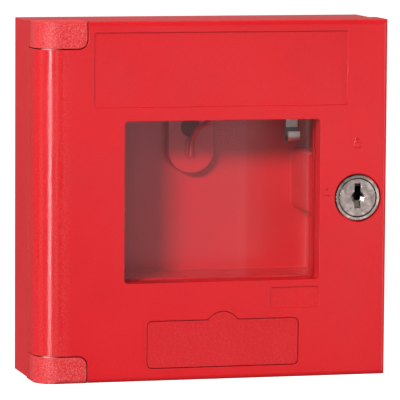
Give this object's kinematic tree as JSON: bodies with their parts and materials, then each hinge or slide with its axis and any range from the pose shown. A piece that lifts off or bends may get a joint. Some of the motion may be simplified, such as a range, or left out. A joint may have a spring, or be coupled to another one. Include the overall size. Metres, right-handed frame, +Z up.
{
  "type": "break glass key box",
  "caption": "Shallow red wall box with a side-hinged glazed door, a cam lock, label and marking recesses, and a hook and peg for an emergency key behind the glass.",
  "frame": {"origin": "centre of the back face, which lies on the wall", "axes": "+X to the right, +Y into the wall, +Z up; the door's front faces -Y"},
  "size_m": [0.125, 0.0382, 0.125],
  "materials": {
    "red_grained": "fine grained, semi-gloss",
    "red_smooth": "smooth, semi-gloss",
    "red_plate": "fine grained, semi-gloss",
    "bright_steel": "zinc plated",
    "screw_steel": "zinc plated",
    "cam_steel": "zinc plated, satin",
    "hook_steel": "nickel plated strip",
    "nylon": "natural nylon",
    "glass": "clear float glass",
    "rubber": "soft black seal",
    "nickel": "nickel plated, satin",
    "nickel_plug": "nickel plated, satin",
    "brass_wafers": "plain",
    "brass_nut": "plain"
  },
  "bodies": {
    "base_body": {"base": "red_grained", "hinge_pins": "bright_steel", "hinge_washers": "nylon", "key_hook": "hook_steel", "hook_screw": "screw_steel", "key_peg": "red_grained"},
    "door_body": {"door": "red_smooth", "glass_pane": "glass", "glass_seal": "rubber", "glass_frame": "red_smooth", "frame_screws": "screw_steel", "lock_housing": "nickel", "lock_washer": "bright_steel", "lock_nut": "brass_nut", "marking_plate": "red_plate"},
    "plug_body": {"lock_plug": "nickel_plug", "lock_wafers": "brass_wafers", "stop_washer": "bright_steel", "lock_cam": "cam_steel", "cam_washer": "bright_steel", "cam_screw": "screw_steel"}
  },
  "joints": [
    {"name": "door_hinge", "type": "hinge", "parent": "base_body", "child": "door_body", "pos_m": [-0.0565, -0.033, 0], "axis": [0, 0, -1], "range_deg": [0, 120]},
    {"name": "lock_turn", "type": "hinge", "parent": "door_body", "child": "plug_body", "pos_m": [0.052, -0.0214, 0.0001], "axis": [0, -1, 0], "range_deg": [0, 90]}
  ]
}
